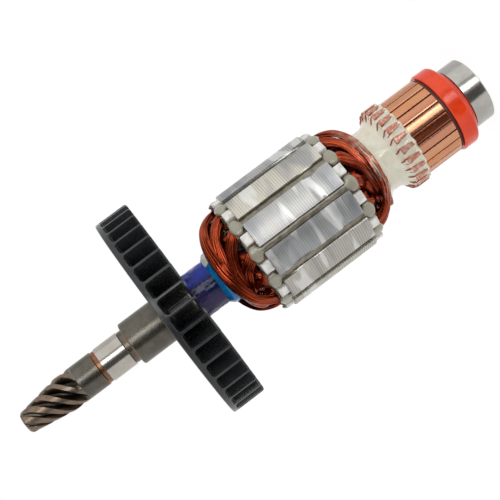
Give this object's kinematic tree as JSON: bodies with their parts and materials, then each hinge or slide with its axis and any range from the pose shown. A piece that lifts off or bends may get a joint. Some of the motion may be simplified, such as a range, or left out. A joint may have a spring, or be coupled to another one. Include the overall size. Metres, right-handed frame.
{
  "type": "motor armature",
  "caption": "Wound armature of a portable tool motor on a shaft with a helical pinion, radial fan, laminated core, hook commutator and ball bearing.",
  "frame": {"origin": "centre of the commutator bearing's outer face, at the foot of the shaft axis", "axes": "+Z along the shaft, from the commutator bearing towards the pinion; -Y through the middle of a core slot and a commutator gap"},
  "size_m": [0.072, 0.072, 0.1754],
  "materials": {
    "shaft_steel": "satin",
    "sleeve_plastic": "glossy",
    "core_steel": "satin",
    "fibre": "matte",
    "liner_paper": "matte",
    "wedge_varnish": "satin",
    "collar_plastic": "glossy",
    "resin": "glossy",
    "enamelled_copper": "glossy",
    "moulding": "matte",
    "ring_plastic": "glossy",
    "bearing_steel": "polished",
    "cage_plastic": "matte",
    "shield_steel": "satin",
    "fan_plastic": "satin",
    "washer_fibre": "matte",
    "bar_copper": "satin"
  },
  "bodies": {
    "rotor": {"shaft": "shaft_steel", "insulating_sleeve": "sleeve_plastic", "core_stack": "core_steel", "end_fibre_commutator_side": "fibre", "end_fibre_fan_side": "fibre", "slot_liners": "liner_paper", "slot_wedges": "wedge_varnish", "insulating_collar": "collar_plastic", "resin_neck": "resin", "coil_leads": "enamelled_copper", "commutator_hub": "moulding", "insulating_ring": "ring_plastic", "bearing_inner_ring": "bearing_steel", "fan": "fan_plastic", "fan_spacer_washer": "washer_fibre", "coil_01": "enamelled_copper", "coil_02": "enamelled_copper", "coil_03": "enamelled_copper", "coil_04": "enamelled_copper", "coil_05": "enamelled_copper", "coil_06": "enamelled_copper", "coil_07": "enamelled_copper", "coil_08": "enamelled_copper", "coil_09": "enamelled_copper", "coil_10": "enamelled_copper", "coil_11": "enamelled_copper", "coil_12": "enamelled_copper", "commutator_bar_01": "bar_copper", "commutator_bar_02": "bar_copper", "commutator_bar_03": "bar_copper", "commutator_bar_04": "bar_copper", "commutator_bar_05": "bar_copper", "commutator_bar_06": "bar_copper", "commutator_bar_07": "bar_copper", "commutator_bar_08": "bar_copper", "commutator_bar_09": "bar_copper", "commutator_bar_10": "bar_copper", "commutator_bar_11": "bar_copper", "commutator_bar_12": "bar_copper", "commutator_bar_13": "bar_copper", "commutator_bar_14": "bar_copper", "commutator_bar_15": "bar_copper", "commutator_bar_16": "bar_copper", "commutator_bar_17": "bar_copper", "commutator_bar_18": "bar_copper", "commutator_bar_19": "bar_copper", "commutator_bar_20": "bar_copper", "commutator_bar_21": "bar_copper", "commutator_bar_22": "bar_copper", "commutator_bar_23": "bar_copper", "commutator_bar_24": "bar_copper"},
    "bearing_outer": {"bearing_outer_ring": "bearing_steel", "bearing_shield_inner": "shield_steel", "bearing_shield_outer": "shield_steel"},
    "bearing_cage_set": {"bearing_cage": "cage_plastic", "bearing_balls": "bearing_steel"}
  },
  "joints": [
    {"name": "outer_ring_spin", "type": "hinge", "parent": "rotor", "child": "bearing_outer", "pos_m": [0, 0, 0.0035], "axis": [0, 0, 1], "continuous": true},
    {"name": "cage_spin", "type": "hinge", "parent": "rotor", "child": "bearing_cage_set", "pos_m": [0, 0, 0.0035], "axis": [0, 0, 1], "continuous": true}
  ],
  "couplings": [
    {"joint": "cage_spin", "follows": "outer_ring_spin", "ratio": 0.6323}
  ]
}
